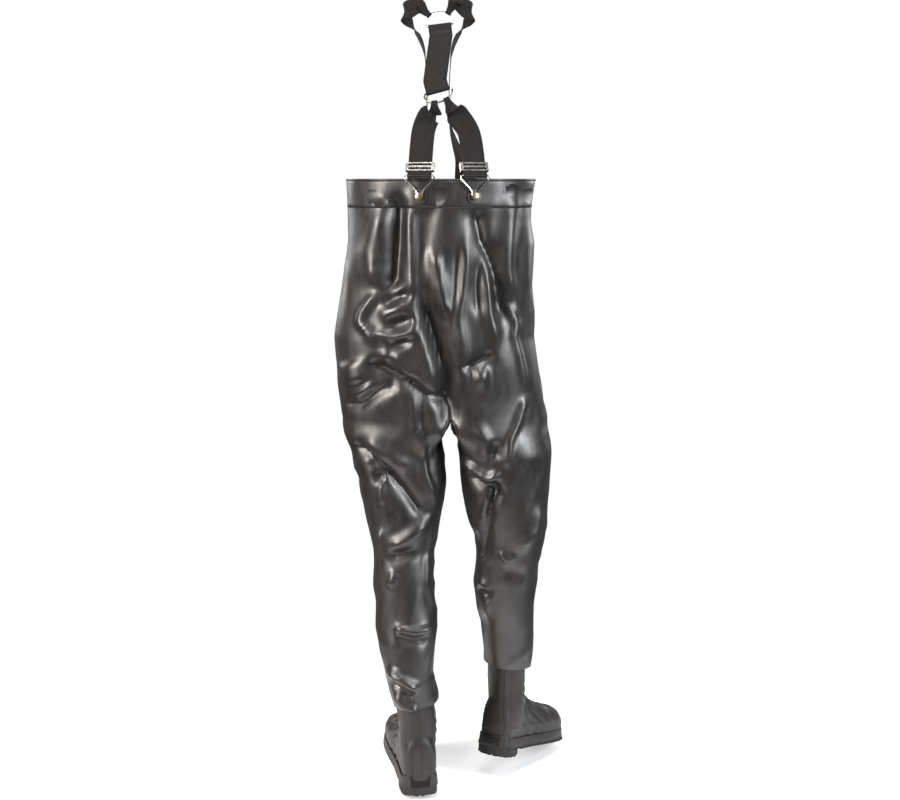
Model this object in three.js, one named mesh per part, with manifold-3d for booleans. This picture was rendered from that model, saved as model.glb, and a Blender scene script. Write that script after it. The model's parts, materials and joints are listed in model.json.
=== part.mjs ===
// Bootfoot chest waders in black rubber, hanging by the ring of their suspenders.
// Millimetres, +Z up, the wearer faces -Y. The origin is the point that the ring hangs from.
// Heights in this file are above the floor under the left heel, and the whole group is lowered by HANG_Z.
import * as THREE from "three";
import { mergeVertices } from "three/addons/utils/BufferGeometryUtils.js";
import Module from "manifold-3d";

const wasm = await Module();
wasm.setup();

// ---- Driving dimensions ----
const HANG_Z = 1728; // height of the hanging point
const HANG_Y = -22; // the hanging point is over the centre of mass
const RIM_Z = 1366; // top edge of the back
const RIM_DROP = 56; // how much lower the front edge hangs
const SKIN = 2; // rubberised fabric
const GAP = 0.4; // clearance between pieces that touch
const ROUND = 30; // sides of a leg or torso section
const BAND_HEIGHT = 62; // rubber strip round the top edge
const BAND_THICK = 1.6;
const WEB_THICK = 1.8; // elastic webbing
const WEB_HALF = 25; // half of the webbing's width
const WIRE = 2; // radius of ring and hook wire
const BUTTON_DROP = 34; // buttons below the top edge
const BOOT_HEIGHT = 280; // top of the boot shaft above its own heel
const LEG_LAP = 38; // how far the leg covers the boot shaft
const HIP = { z: 800, half: 60 }; // flexing zones: middle and half height
const KNEE = { z: 500, half: 55 };

// Torso sections from the top down: height, centre x, half width, centre y, half depth.
const TORSO = [
  { z: RIM_Z, x: -8, a: 203, y: 0, b: 165 },
  { z: 1290, x: -8, a: 203, y: 0, b: 165 },
  { z: 1236, x: -8, a: 203, y: 0, b: 160 },
  { z: 1148, x: -5, a: 213, y: 0, b: 156 },
  { z: 1038, x: 4, a: 223, y: 0, b: 150 },
  { z: 949, x: 0, a: 226, y: 0, b: 142 },
  { z: 905, x: -6, a: 219, y: 0, b: 130 },
  { z: 878, x: -12, a: 176, y: 0, b: 112 },
  { z: 862, x: -18, a: 120, y: 0, b: 84 },
];

// Leg sections from the hip down, the same way.
const LEFT_LEG = [
  { z: 990, x: 104, a: 92, y: 0, b: 96 },
  { z: 905, x: 98, a: 114, y: 0, b: 122 },
  { z: 837, x: 92, a: 116, y: 0, b: 120 },
  { z: 770, x: 87, a: 111, y: 0, b: 110 },
  { z: 656, x: 82, a: 89, y: 2, b: 102 },
  { z: 541, x: 81, a: 69, y: 8, b: 90 },
  { z: 425, x: 73, a: 64, y: 22, b: 84 },
  { z: 332, x: 66, a: 58, y: 36, b: 78 },
  { z: 235, x: 56, a: 56, y: 48, b: 74 },
];
const RIGHT_LEG = [
  { z: 990, x: -118, a: 92, y: 0, b: 96 },
  { z: 905, x: -128, a: 110, y: 0, b: 122 },
  { z: 837, x: -138, a: 107, y: 0, b: 120 },
  { z: 770, x: -141, a: 107, y: -2, b: 110 },
  { z: 656, x: -145, a: 96, y: -10, b: 102 },
  { z: 541, x: -157, a: 76, y: -25, b: 90 },
  { z: 425, x: -153, a: 69, y: -46, b: 84 },
  { z: 332, x: -156, a: 60, y: -63, b: 78 },
  { z: 262, x: -158, a: 58, y: -76, b: 76 },
];

// Boots: ankle centre, turn outwards and toe lift in degrees. heelZ is the height of the heel's underside.
const ANKLE_HEIGHT = 100; // ankle centre above the sole
const ANKLE_RISE = 26; // middle of the ankle's flexing zone above the ankle centre
const FLEX_HALF = 32; // half height of that zone
const LEFT_BOOT = { x: 48, y: 55, z: 104, turn: 9, lift: 5, heelZ: 0 };
const RIGHT_BOOT = { x: -158, y: -85, z: 136, turn: -31, lift: -11, heelZ: 47 };

// Suspenders. The loop is seen from behind: the back pair of straps, a ring, the single strap, the top ring.
const BACK_BUTTONS = { left: 36, right: -76 }; // x
const FRONT_BUTTONS = { left: 46, right: -62 };
const LOWER_RING = { x: 0, y: 92, z: 1552 };
const RING = { half: 30, depth: 32 }; // half of the flat bar, and how far the bow reaches from it

// ---- Geometry helpers ----
const vec = (x, y, z) => new THREE.Vector3(x, y, z);
const radians = THREE.MathUtils.degToRad;

// A closed solid through rings of points, each ring holding the same number of points.
// In a flat one the two broad faces are cut along the same diagonals, so a twist keeps its thickness.
function loft(rings, flatOne = false) {
  const n = rings[0].length;
  const flat = rings.flat();
  const middle = (ring) => ring.reduce((sum, p) => sum.add(p), vec(0, 0, 0)).divideScalar(n);
  const first = flat.push(middle(rings[0])) - 1;
  const last = flat.push(middle(rings.at(-1))) - 1;
  const faces = [];
  const end = (rings.length - 1) * n;
  for (let i = 0; i < n; i++) {
    const j = (i + 1) % n;
    for (let r = 0; r < rings.length - 1; r++) {
      const [a, b, c, d] = [r * n + i, r * n + j, (r + 1) * n + j, (r + 1) * n + i];
      if (flatOne && i >= n / 2) faces.push(a, d, b, b, d, c);
      else faces.push(a, c, b, a, d, c);
    }
    faces.push(first, i, j, last, end + j, end + i);
  }
  const made = new THREE.BufferGeometry().setFromPoints(flat);
  made.setIndex(faces);
  return volumeOf(made) < 0 ? flipped(made) : made;
}

function volumeOf(geometry) {
  const p = geometry.attributes.position;
  const corner = (i) => vec().fromBufferAttribute(p, geometry.index.getX(i));
  let six = 0;
  for (let i = 0; i < geometry.index.count; i += 3) {
    six += corner(i).dot(corner(i + 1).cross(corner(i + 2)));
  }
  return six / 6;
}

function flipped(geometry) {
  const index = geometry.index.array;
  for (let i = 0; i < index.length; i += 3) [index[i], index[i + 1]] = [index[i + 1], index[i]];
  return geometry;
}

// An upright tube's solid from sections, thickened outwards by grow. top(angle) lowers the first rings.
function tube(sections, grow = 0, top = () => 0) {
  const rings = sections.map((s, k) => {
    const share = Math.max(0, 1 - k / 2);
    return Array.from({ length: ROUND }, (_, i) => {
      const t = (2 * Math.PI * i) / ROUND;
      const drop = share * top(t);
      return vec(s.x + (s.a + grow) * Math.cos(t), s.y + (s.b + grow) * Math.sin(t), s.z - drop);
    });
  });
  return loft(rings);
}

const frontDrop = (t) => RIM_DROP * Math.max(0, -Math.sin(t)) ** 1.5;

// A section part of the way down a list of sections.
function sectionAt(sections, z) {
  const k = Math.max(1, sections.findIndex((s) => s.z <= z));
  const [above, below] = [sections[k - 1], sections[k]];
  const share = (above.z - z) / (above.z - below.z);
  const mix = (key) => THREE.MathUtils.lerp(above[key], below[key], share);
  return { z, x: mix("x"), a: mix("a"), y: mix("y"), b: mix("b") };
}

// Flat webbing through samples {at, side, half}: a rectangle of half width and thickness swept along them.
function ribbon(samples, thick = WEB_THICK) {
  const rings = samples.map(({ at, side, half }, i) => {
    const before = samples[Math.max(0, i - 1)].at;
    const after = samples[Math.min(samples.length - 1, i + 1)].at;
    const along = after.clone().sub(before).normalize();
    const across = side.clone().addScaledVector(along, -side.dot(along)).normalize();
    const face = along.clone().cross(across);
    const corner = (u, v) => at.clone().addScaledVector(across, u * half).addScaledVector(face, (v * thick) / 2);
    return [corner(-1, -1), corner(1, -1), corner(1, 1), corner(-1, 1)];
  });
  return loft(rings, true);
}

// Round wire along points; closed wire joins its ends.
function wire(points, radius = WIRE, closed = false, sides = 8) {
  const path = new THREE.CatmullRomCurve3(points, closed, "centripetal");
  const section = new THREE.Shape().absarc(0, 0, radius, 0, 2 * Math.PI);
  const shape = new THREE.Shape(section.getPoints(sides / 2).slice(0, sides));
  const steps = points.length * 2;
  return new THREE.ExtrudeGeometry(shape, { steps, extrudePath: path, bevelEnabled: false });
}

// ---- Booleans ----
function solid(geometry) {
  const bare = geometry.index ? geometry.clone() : geometry.clone();
  bare.deleteAttribute("normal");
  bare.deleteAttribute("uv");
  const merged = mergeVertices(bare, 1e-4);
  const vertProperties = new Float32Array(merged.attributes.position.array);
  return new wasm.Manifold(new wasm.Mesh({ numProp: 3, vertProperties, triVerts: new Uint32Array(merged.index.array) }));
}

function geometryOf(made) {
  const mesh = made.getMesh();
  const position = new THREE.BufferAttribute(new Float32Array(mesh.vertProperties), 3);
  const index = new THREE.BufferAttribute(new Uint32Array(mesh.triVerts), 1);
  return new THREE.BufferGeometry().setAttribute("position", position).setIndex(index);
}

const boxSolid = (size, centre) =>
  solid(new THREE.BoxGeometry(size.x, size.y, size.z).translate(centre.x, centre.y, centre.z));

// An upright wedge between two directions in degrees about the torso's axis, less a clearance at each side.
function wedge(from, to) {
  const far = 600;
  const centre = vec(-8, 0, 0);
  const edge = (degrees, inwards) => {
    const t = radians(degrees);
    const aside = vec(-Math.sin(t), Math.cos(t), 0).multiplyScalar((inwards * GAP) / 2);
    return [vec(0, 0, 0), vec(far * Math.cos(t), far * Math.sin(t), 0)].map((p) => p.add(aside).add(centre));
  };
  const middle = radians((from + to) / 2);
  const beyond = vec(far * 2 * Math.cos(middle), far * 2 * Math.sin(middle), 0).add(centre);
  const [a0, a1] = edge(from, 1);
  const [b0, b1] = edge(to, -1);
  const start = a0.clone().add(b0).divideScalar(2);
  const ring = (z) => [start, a1, beyond, b1].map((p) => p.clone().setZ(z));
  return solid(loft([ring(-2000), ring(2000)]));
}

// Everything between two heights, less a clearance at each end.
function slab(made, low, high) {
  const tall = high - low - GAP;
  return made.intersect(boxSolid(vec(2000, 2000, tall), vec(0, 0, (low + high) / 2)));
}

// ---- Materials ----
const plain = (color, roughness, metalness = 0) => new THREE.MeshStandardMaterial({ color, roughness, metalness });
const RUBBER = plain(0x2b2827, 0.42);
const BOOT_RUBBER = plain(0x302d2b, 0.6);
const SOLE_RUBBER = plain(0x1f1d1c, 0.75);
const WEBBING = plain(0x1c1a19, 0.85);
const METAL = plain(0xc9c4ba, 0.28, 1);
const BRASS = plain(0xb59a6a, 0.32, 1);
const LINING = plain(0x5a564f, 0.9);

const waders = new THREE.Group();
waders.position.set(0, -HANG_Y, -HANG_Z);

function add(name, geometry, material, parent = waders) {
  const mesh = new THREE.Mesh(geometry, material);
  mesh.name = name;
  parent.add(mesh);
  return mesh;
}

// ---- Garment: torso and legs as one skin, cut where it flexes ----
const outer = [tube(TORSO, 0, frontDrop), tube(LEFT_LEG), tube(RIGHT_LEG)].map(solid);
const floorRaised = [...TORSO.slice(0, -1), { ...TORSO.at(-1), z: TORSO.at(-1).z + SKIN }];
const inner = [tube(floorRaised, -SKIN, frontDrop), tube(LEFT_LEG, -SKIN), tube(RIGHT_LEG, -SKIN)].map(solid);
const mouth = solid(tube([{ ...TORSO[0], z: RIM_Z + 40 }, { ...TORSO[0], z: RIM_Z - 3 }], -SKIN, frontDrop));
const feet = [LEFT_LEG, RIGHT_LEG].map((leg) => {
  const end = leg.at(-1);
  return solid(tube([{ ...end, z: end.z + 4 }, { ...end, z: end.z - 40 }], -SKIN));
});
const joined = (parts) => parts.reduce((all, next) => all.add(next));
const skin = joined(outer).subtract(joined([...inner, mouth, ...feet]));

const FORK_X = -25.2; // plane between the legs
const LEFT_SIDE = boxSolid(vec(1000, 1000, 1200), vec(FORK_X + 500, 0, 300));
const RIGHT_SIDE = boxSolid(vec(1000, 1000, 1200), vec(FORK_X - 500, 0, 300));
const hipTop = HIP.z + HIP.half;
const hipLow = HIP.z - HIP.half;
const kneeTop = KNEE.z + KNEE.half;
const kneeLow = KNEE.z - KNEE.half;

// Clinch buttons: a domed head on a short neck, through the skin and its patches.
const buttons = [
  { name: "back_button_left", x: BACK_BUTTONS.left, back: true },
  { name: "back_button_right", x: BACK_BUTTONS.right, back: true },
  { name: "front_button_left", x: FRONT_BUTTONS.left, back: false },
  { name: "front_button_right", x: FRONT_BUTTONS.right, back: false },
].map((button) => {
  const sign = button.back ? 1 : -1;
  const topEdge = button.back ? RIM_Z : RIM_Z - RIM_DROP;
  const z = topEdge - BUTTON_DROP;
  const s = TORSO[0];
  const t = sign * Math.acos((button.x - s.x) / s.a);
  const out = vec(Math.cos(t) / s.a, Math.sin(t) / s.b, 0).normalize();
  const at = vec(s.x + s.a * Math.cos(t), s.y + s.b * Math.sin(t), z);
  return { ...button, at, out, topEdge };
});

// Turns geometry made about +Z so that it faces out at a button, and moves it there.
function placeAt(geometry, button, lift = 0) {
  const turn = new THREE.Quaternion().setFromRotationMatrix(
    new THREE.Matrix4().makeBasis(vec(-button.out.y, button.out.x, 0), vec(0, 0, 1), button.out),
  );
  const at = button.at.clone().addScaledVector(button.out, lift);
  return geometry.applyQuaternion(turn).translate(at.x, at.y, at.z);
}

const NECK = 3; // radius of a button's neck
const STAND_OFF = BAND_THICK + GAP + 0.6; // outside of the band from the skin's outside
const PATCH = 15; // radius of the rubber patch under a button
const HEAD_LIFT = STAND_OFF + 7; // underside of the head from the skin
const lathe = (profile, sides = 20) =>
  new THREE.LatheGeometry(profile.map(([r, y]) => new THREE.Vector2(r, y)), sides).rotateX(Math.PI / 2);
const drill = (radius) => (button) =>
  solid(placeAt(new THREE.CylinderGeometry(radius, radius, 60, 16).rotateX(Math.PI / 2), button));
const holes = joined(buttons.map(drill(NECK + GAP)));

// The bib is glued up from a seat and six upright panels.
const SEAT_TOP = 960;
const PANELS = ["back_left", "side_left", "front_left", "front_right", "side_right", "back_right"];
const PANEL_EDGES = [90, 28, -28, -90, -152, -208, -270];
const bib = slab(skin, SEAT_TOP, RIM_Z + 50).subtract(holes);
add("bib_seat", geometryOf(slab(skin, hipTop, SEAT_TOP)), RUBBER);
PANELS.forEach((name, i) => {
  add(`bib_${name}`, geometryOf(bib.intersect(wedge(PANEL_EDGES[i + 1], PANEL_EDGES[i]))), RUBBER);
});

const bandOuter = solid(tube(TORSO.slice(0, 3), STAND_OFF, frontDrop));
const bandInner = solid(tube(TORSO.slice(0, 3), GAP, frontDrop));
const bandCut = solid(
  tube([{ ...TORSO[0], z: RIM_Z - BAND_HEIGHT }, { ...TORSO[0], z: RIM_Z - 400 }], 40, (t) => 2 * frontDrop(t)),
);
const bandTop = solid(tube([{ ...TORSO[0], z: RIM_Z + 20 }, { ...TORSO[0], z: RIM_Z - 2 }], GAP, frontDrop));
const band = bandOuter.subtract(bandInner).subtract(bandTop).subtract(bandCut).subtract(holes);
add("top_band", geometryOf(band), RUBBER);

for (const button of buttons) {
  const patch = lathe([[NECK + GAP, 0], [PATCH, 0], [PATCH, 1.4], [NECK + GAP, 2.2], [NECK + GAP, 0]]);
  add(button.name.replace("button", "patch"), placeAt(patch, button, STAND_OFF + 1), RUBBER);
  const reach = HEAD_LIFT + 1;
  const profile = [[0, -6], [7, -6], [7, -4], [NECK, -4], [NECK, reach], [8, reach], [8, reach + 1.2], [4.5, reach + 2.6]];
  add(button.name, placeAt(lathe([...profile, [0, reach + 3]]), button), BRASS);
}

// Legs: hip zone, thigh, knee zone and shin of each.
for (const [side, half] of [["left", LEFT_SIDE], ["right", RIGHT_SIDE]]) {
  const leg = skin.intersect(half);
  add(`${side}_hip_gusset`, geometryOf(slab(leg, hipLow, hipTop)), RUBBER);
  add(`${side}_thigh`, geometryOf(slab(leg, kneeTop, hipLow)), RUBBER);
  add(`${side}_knee`, geometryOf(slab(leg, kneeLow, kneeTop)), RUBBER);
  add(`${side}_shin`, geometryOf(slab(leg, 0, kneeLow)), RUBBER);
}

// ---- Boots ----
// Sections of the foot from heel to toe, seen from the ankle centre: distance forwards, half width, height of the top.
const FOOT = [
  { y: 58, a: 24, top: 20 },
  { y: 52, a: 34, top: 34 },
  { y: 30, a: 39, top: 44 },
  { y: -20, a: 41, top: 46 },
  { y: -60, a: 43, top: 30 },
  { y: -100, a: 48, top: 14 },
  { y: -140, a: 52, top: 5 },
  { y: -180, a: 52, top: -2 },
  { y: -210, a: 44, top: -14 },
  { y: -228, a: 32, top: -32 },
  { y: -236, a: 14, top: -54 },
];
const UPPER_LOW = -ANKLE_HEIGHT + 24; // underside of the foot's shell
const SOLE_TOP = UPPER_LOW - GAP;
const HEEL_THICK = 15;
const SOLE_THICK = 8;

// The foot's solid, thickened by grow: upright sections with a round top and a flat base.
function footSolid(grow) {
  const sides = 20;
  const rings = FOOT.map((s, k) => {
    const endGrow = k === 0 ? grow : k === FOOT.length - 1 ? -grow : 0;
    const low = UPPER_LOW - grow;
    const middle = (s.top + grow + low) / 2;
    const tall = (s.top + grow - low) / 2;
    return Array.from({ length: sides }, (_, i) => {
      const t = (2 * Math.PI * (i + 0.5)) / sides;
      const wide = Math.sign(Math.cos(t)) * Math.abs(Math.cos(t)) ** 0.7;
      const high = Math.sin(t) < 0 ? -Math.min(1, 1.35 * Math.abs(Math.sin(t)) ** 0.8) : Math.sin(t) ** 0.9;
      return vec((s.a + grow) * wide, s.y + endGrow, middle + tall * high);
    });
  });
  return solid(loft(rings));
}

// A flat plate of the foot's outline between two heights, from and to in y.
function solePlate(low, high, grow, from = 100, to = -300) {
  const steps = 9;
  const outline = [];
  const curve = new THREE.CatmullRomCurve3(FOOT.map((s) => vec(Math.max(4, s.a + grow), s.y, 0)));
  for (let i = 0; i <= 2 * steps; i++) outline.push(curve.getPoint(i / (2 * steps)));
  const right = outline.map((p) => new THREE.Vector2(-p.x, p.y)).reverse();
  const shape = new THREE.Shape([...outline.map((p) => new THREE.Vector2(p.x, p.y)), ...right]);
  const plate = new THREE.ExtrudeGeometry(shape, { depth: high - low, bevelEnabled: false }).translate(0, 0, low);
  return solid(plate).intersect(boxSolid(vec(300, from - to, 100), vec(0, (from + to) / 2, -ANKLE_HEIGHT)));
}

function boot(side, place, leg) {
  const collar = place.heelZ + BOOT_HEIGHT;
  const foot = new THREE.Matrix4().makeRotationZ(radians(place.turn));
  foot.multiply(new THREE.Matrix4().makeRotationX(radians(-place.lift)));
  foot.setPosition(place.x, place.y, place.z);
  const inPlace = (made) => made.transform(foot.elements);

  // The shaft runs from the ankle up inside the leg.
  const shaftGrow = -SKIN - GAP - 2;
  const upper = sectionAt(leg, Math.max(collar, leg.at(-1).z));
  const base = { x: place.x, y: place.y, a: 46, b: 56 };
  const shaft = (grow, extra) =>
    solid(
      tube(
        [
          { ...upper, z: collar + extra, a: upper.a + shaftGrow, b: upper.b + shaftGrow },
          { x: (upper.x + base.x) / 2, y: (upper.y + base.y) / 2, z: (collar + place.z) / 2 + 10, a: 48, b: 62 },
          { ...base, z: place.z + 20 },
          { ...base, z: place.z - 45, a: 34, b: 44 },
        ],
        grow,
      ),
    );
  const wall = 3;
  const outside = shaft(0, 0).add(inPlace(footSolid(0)));
  const hollow = shaft(-wall, 20).add(inPlace(footSolid(-wall)));
  const shell = outside.subtract(hollow);
  const flexLow = place.z + ANKLE_RISE - FLEX_HALF;
  const flexTop = place.z + ANKLE_RISE + FLEX_HALF;
  add(`${side}_boot_shaft`, geometryOf(slab(shell, flexTop, collar + 30)), BOOT_RUBBER);
  add(`${side}_boot_ankle`, geometryOf(slab(shell, flexLow, flexTop)), BOOT_RUBBER);
  add(`${side}_boot_foot`, geometryOf(slab(shell, -200, flexLow)), BOOT_RUBBER);

  const heelFront = 2;
  const soleLow = SOLE_TOP - SOLE_THICK;
  const outsole = inPlace(solePlate(soleLow, SOLE_TOP, 3, heelFront - GAP));
  add(`${side}_outsole`, geometryOf(outsole), SOLE_RUBBER);
  const heel = inPlace(solePlate(soleLow - HEEL_THICK, SOLE_TOP, 3, 100, heelFront));
  add(`${side}_heel`, geometryOf(heel), SOLE_RUBBER);
  const insoleLow = UPPER_LOW + wall + GAP;
  add(`${side}_insole`, geometryOf(inPlace(solePlate(insoleLow, insoleLow + 4, -15, 44, -212))), LINING);
}
boot("left", LEFT_BOOT, LEFT_LEG);
boot("right", RIGHT_BOOT, RIGHT_LEG);

// ---- Suspenders ----
// A D ring: a flat bar with a bow. across runs along the bar, and bow points from it to the bow's top.
const BOW_POWER = 0.75;
function bowPoint(u) {
  const share = Math.abs(u) / RING.half;
  const height = (1 - share ** (2 / BOW_POWER)) ** (BOW_POWER / 2);
  return 4 + (RING.depth - 4) * height;
}
function dRing(centre, across, bow) {
  const at = (u, v) => centre.clone().addScaledVector(across, u).addScaledVector(bow, v);
  const points = [at(-RING.half + 5, 0), at(0, 0), at(RING.half - 5, 0)];
  for (let i = 0; i < 9; i++) {
    const t = (Math.PI * i) / 8;
    const u = Math.sign(Math.cos(t)) * RING.half * Math.abs(Math.cos(t)) ** BOW_POWER;
    points.push(at(u, bowPoint(u)));
  }
  return wire(points, WIRE, true, 6);
}

// One end of a strap: the bar it wraps, the strap's width direction there, half its width, and the
// way it leaves. face is the outer face.
function strapEnd(bar, side, half, towards) {
  const across = side.clone().normalize();
  const along = towards.clone().addScaledVector(across, -towards.dot(across)).normalize();
  const face = across.clone().cross(along);
  return { bar, across, along, half, face: face.y < 0 ? face.negate() : face };
}

// Samples of an end from the bar outwards: the tail beside the strap, the turn round the bar, the strap itself.
const TURN_R = WIRE + GAP + WEB_THICK / 2 + 1.2;
const BESIDE = WEB_THICK / 2 + 0.25;
const TAIL = 25;
function endSamples({ bar, across, along, half, face }, tailSide, wide = WEB_HALF) {
  const at = (far, off) => bar.clone().addScaledVector(along, far).addScaledVector(face, off * tailSide);
  const sample = (far, off, width = half) => ({ at: at(far, off), side: across, half: width });
  const widened = (half + wide) / 2;
  const narrow = half + (widened - half) * 0.25;
  const samples = [sample(TAIL, BESIDE, widened), sample(10, BESIDE + 0.5, narrow)];
  for (let i = 0; i <= 4; i++) {
    const t = (Math.PI * i) / 4;
    samples.push(sample(-TURN_R * Math.sin(t), TURN_R * Math.cos(t)));
  }
  samples.push(sample(10, -BESIDE - 0.5, narrow), sample(TAIL + 4, -BESIDE, widened));
  return samples;
}

// Webbing between two ends, with samples in between.
function strap(top, bottom, middle = []) {
  const first = endSamples(top, -1);
  const last = endSamples(bottom, -1).reverse();
  const rest = middle.length ? middle : [{ share: 0.35 }, { share: 0.65 }];
  const from = first.at(-1);
  const to = last[0];
  const between = rest.map(({ share, ...given }) => ({
    at: from.at.clone().lerp(to.at, share ?? 0),
    side: from.side.clone().lerp(to.side, share ?? 0),
    half: WEB_HALF,
    ...given,
  }));
  const steps = [from, ...between, to];
  const way = middle.length ? halved(steps).slice(1, -1) : between;
  return ribbon([...first, ...way, ...last]);
}

// Samples with one more between each pair, on a smooth curve through them.
function halved(samples) {
  const near = (i) => samples[Math.min(samples.length - 1, Math.max(0, i))].at;
  return samples.flatMap((sample, i) => {
    const next = samples[i + 1];
    if (!next) return [sample];
    const outer = near(i - 1).clone().add(near(i + 2));
    const at = near(i).clone().add(near(i + 1)).multiplyScalar(9).sub(outer).divideScalar(16);
    const side = sample.side.clone().normalize().add(next.side.clone().normalize());
    return [sample, { at, side, half: (sample.half + next.half) / 2 }];
  });
}

const tilted = (degrees) => vec(Math.cos(radians(degrees)), 0, -Math.sin(radians(degrees)));
const topAcross = tilted(7);
const topBow = vec(Math.sin(radians(7)), 0, Math.cos(radians(7)));
const topBar = vec(-4, HANG_Y, HANG_Z - RING.depth);
const lowerBar = vec(LOWER_RING.x, LOWER_RING.y, LOWER_RING.z);
const strapDown = lowerBar.clone().sub(topBar).normalize();
const lowerAcross = tilted(15).addScaledVector(strapDown, -tilted(15).dot(strapDown) * 0).normalize();
const lowerBow = strapDown.clone().addScaledVector(lowerAcross, -strapDown.dot(lowerAcross)).normalize();
add("top_ring", dRing(topBar, topAcross, topBow), METAL);
add("lower_ring", dRing(lowerBar, lowerAcross, lowerBow), METAL);
const BAR_HALF = RING.half - 5;
add(
  "centre_strap",
  strap(strapEnd(topBar, topAcross, BAR_HALF, strapDown), strapEnd(lowerBar, lowerAcross, BAR_HALF, strapDown.clone().negate())),
  WEBBING,
);

// Wire hook that holds a button: a bar for the webbing, sides that close in, and a slot for the neck.
const HOOK_HALF = WEB_HALF + 6;
const SLIDE_RISE = 20; // slide above the hook's bar
function hook(button, bar) {
  const lift = STAND_OFF + 5.2;
  const across = vec(-button.out.y, button.out.x, 0);
  const foot = button.at.clone().addScaledVector(button.out, lift);
  const at = (u, w) => foot.clone().addScaledVector(across, u).add(vec(0, 0, w));
  const slot = NECK + WIRE + 0.5;
  const end = (u) => bar.clone().addScaledVector(across, u);
  const points = [
    end(-HOOK_HALF),
    end(0),
    end(HOOK_HALF),
    end(HOOK_HALF).add(vec(0, 0, -5)),
    at(slot + 6, 16),
    at(slot + 1, 8),
    at(slot, 0),
    at(slot * 0.7, -slot * 0.75),
    at(0, -slot),
    at(-slot * 0.7, -slot * 0.75),
    at(-slot, 0),
    at(-slot - 1, 8),
    at(-slot - 6, 16),
    end(-HOOK_HALF).add(vec(0, 0, -5)),
  ];
  return wire(points, WIRE - 0.3, true, 6);
}

// Slide buckle on the webbing: a flat frame with a channel through it and two windows beside a middle bar.
const SLIDE = { wide: 2 * WEB_HALF + 10, tall: 19, deep: 9, channelWide: 2 * WEB_HALF + 3, channelDeep: 6.6 };
function slide(at, across, along) {
  const face = across.clone().cross(along).normalize();
  const frame = new THREE.Matrix4().makeBasis(across, along, face).setPosition(at);
  const block = (w, h, t, y) => boxSolid(vec(w, h, t), vec(0, y, 0));
  const windows = block(2 * WEB_HALF - 2, 4.6, 30, 4.4).add(block(2 * WEB_HALF - 2, 4.6, 30, -4.4));
  const channel = block(SLIDE.channelWide, 40, SLIDE.channelDeep, 0);
  const body = block(SLIDE.wide, SLIDE.tall, SLIDE.deep, 0).subtract(channel).subtract(windows);
  return geometryOf(body.transform(frame.elements));
}

const SIDE_OF = { left: 1, right: -1 };
const BOW_SPREAD = 13; // back straps from the middle of the lower ring's bow
const BOW_END = 22; // the same for the shoulder straps on the top ring
const END_HALF = 6; // half width of webbing gathered round a bow

// Where webbing wraps a bow, and the bow's direction there.
function onBow(bar, across, bow, u) {
  const point = (v) => bar.clone().addScaledVector(across, v).addScaledVector(bow, bowPoint(v));
  const along = point(u + 2).sub(point(u - 2)).normalize();
  return { at: point(u), along };
}

for (const button of buttons) {
  const side = button.name.endsWith("left") ? "left" : "right";
  const sign = SIDE_OF[side];
  const across = vec(Math.abs(button.out.y), button.back ? -button.out.x : button.out.x, 0);
  const bar = button.at.clone().addScaledVector(button.out, STAND_OFF + 5.2);
  bar.z = button.topEdge + 8;
  const end = button.back ? "back" : "front";
  add(`${end}_hook_${side}`, hook(button, bar), METAL);
  const up = vec(0, 0, 1);
  const low = strapEnd(bar, across, WEB_HALF, button.back ? lowerBar.clone().sub(bar) : vec(0, 0.2, 1));
  if (button.back) {
    const { at, along } = onBow(lowerBar, lowerAcross, lowerBow, sign * BOW_SPREAD);
    const high = strapEnd(at, along, END_HALF, bar.clone().sub(at));
    add(`back_strap_${side}`, strap(high, low), WEBBING);
  } else {
    const { at, along } = onBow(topBar, topAcross, topBow, sign * BOW_END);
    const high = strapEnd(at, along, END_HALF, vec(sign, 0, 0.25));
    add(`shoulder_strap_${side}`, strap(high, low, drape(sign, bar.x)), WEBBING);
  }
  const slideAt = bar.clone().addScaledVector(low.along, SLIDE_RISE);
  add(`${end}_slide_${side}`, slide(slideAt, low.across, low.along), METAL);
}

// A shoulder strap's way from the top ring: outwards, folded back on itself, then down edge on to the front.
function drape(sign, barX) {
  const point = (x, y, drop) => vec(sign * x, HANG_Y + y, HANG_Z - drop);
  const fold = [
    { at: point(62, -2, -4), side: vec(0.25 * sign, 0, -1), half: 20 },
    { at: point(73, -9, 4), side: vec(0.25 * sign, 0.1, -1), half: 20 },
    { at: point(65, -19, 17), side: vec(-0.15 * sign, 0.4, -1), half: 22 },
    { at: point(45, -29, 46), side: vec(-0.4 * sign, 0.8, -0.45) },
    { at: point(28, -40, 100), side: vec(0, 1, 0) },
  ];
  const fall = [
    { at: vec(sign * 26, -98, HANG_Z - 230), side: vec(0, 1, 0) },
    { at: vec(barX * 0.86, -138, RIM_Z + 44), side: vec(0.5 * sign, 0.8, 0) },
    { at: vec(barX, -152, RIM_Z + 4), side: vec(sign, 0.1, 0) },
  ];
  return [...fold, ...fall].map((sample) => ({ ...sample, side: sample.side.multiplyScalar(sign) }));
}

export default waders;
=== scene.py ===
"""Black rubber chest waders hanging by the ring of their suspenders, seen from behind the wearer.

Lengths are in millimetres above the floor under the left heel until to_row() puts them in the row frame, in metres.
"""

import json
import math

import bmesh
import bpy
import numpy as np
from mathutils import Matrix, Vector


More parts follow.
